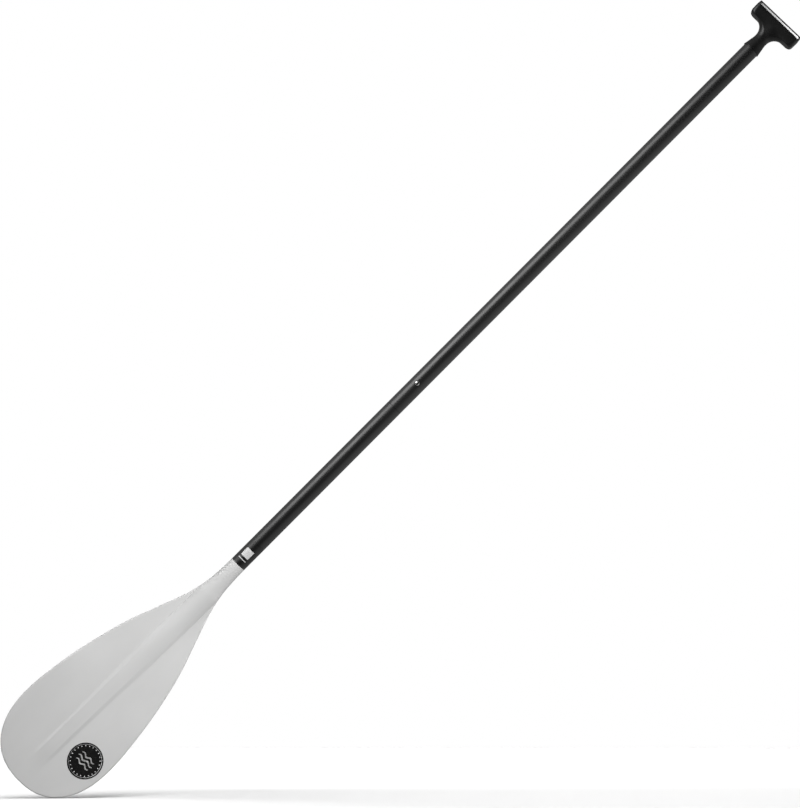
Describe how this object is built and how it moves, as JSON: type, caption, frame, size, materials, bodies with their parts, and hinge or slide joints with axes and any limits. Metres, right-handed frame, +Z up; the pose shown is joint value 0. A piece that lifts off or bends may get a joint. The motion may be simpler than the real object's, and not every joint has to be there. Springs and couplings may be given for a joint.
{
  "type": "two-piece stand-up paddle",
  "caption": "Two-piece paddle for a stand-up board: moulded blade, tube shaft that parts at a snap button, and a T-grip.",
  "frame": {"origin": "on the shaft's axis at the seam, the top edge of the lower tube", "axes": "+Z up the shaft to the grip, -Y out of the blade's ribbed face and of the snap button, +X to the right of someone who looks at that face"},
  "size_m": [0.193, 0.0883, 1.7909],
  "materials": {
    "blade_plastic": "satin moulded, light grey",
    "sticker": "black printed vinyl",
    "shaft_black": "aluminium tube, satin black anodised",
    "foam": "closed-cell foam",
    "ferrule_aluminium": "drawn tube",
    "spring_steel": "spring temper",
    "button_steel": "polished by use",
    "grip_plastic": "moulded, semi-gloss black"
  },
  "bodies": {
    "lower_half": {"blade": "blade_plastic", "blade_badge": "sticker", "lower_shaft": "shaft_black", "shaft_label": "sticker", "lower_foam_plug": "foam", "ferrule": "ferrule_aluminium", "button_spring": "spring_steel"},
    "snap_button": {"snap_button": "button_steel"},
    "grip_half": {"upper_shaft": "shaft_black", "upper_foam_plug": "foam", "grip": "grip_plastic"}
  },
  "joints": [
    {"name": "button_press", "type": "slide", "parent": "lower_half", "child": "snap_button", "axis": [0, 1, 0], "range_m": [0, 0.004], "stiffness_N_per_m": 3000, "deforming": ["button_spring"]},
    {"name": "grip_half_pull", "type": "slide", "parent": "lower_half", "child": "grip_half", "axis": [0, 0, 1], "range_m": [0, 0.4]}
  ]
}
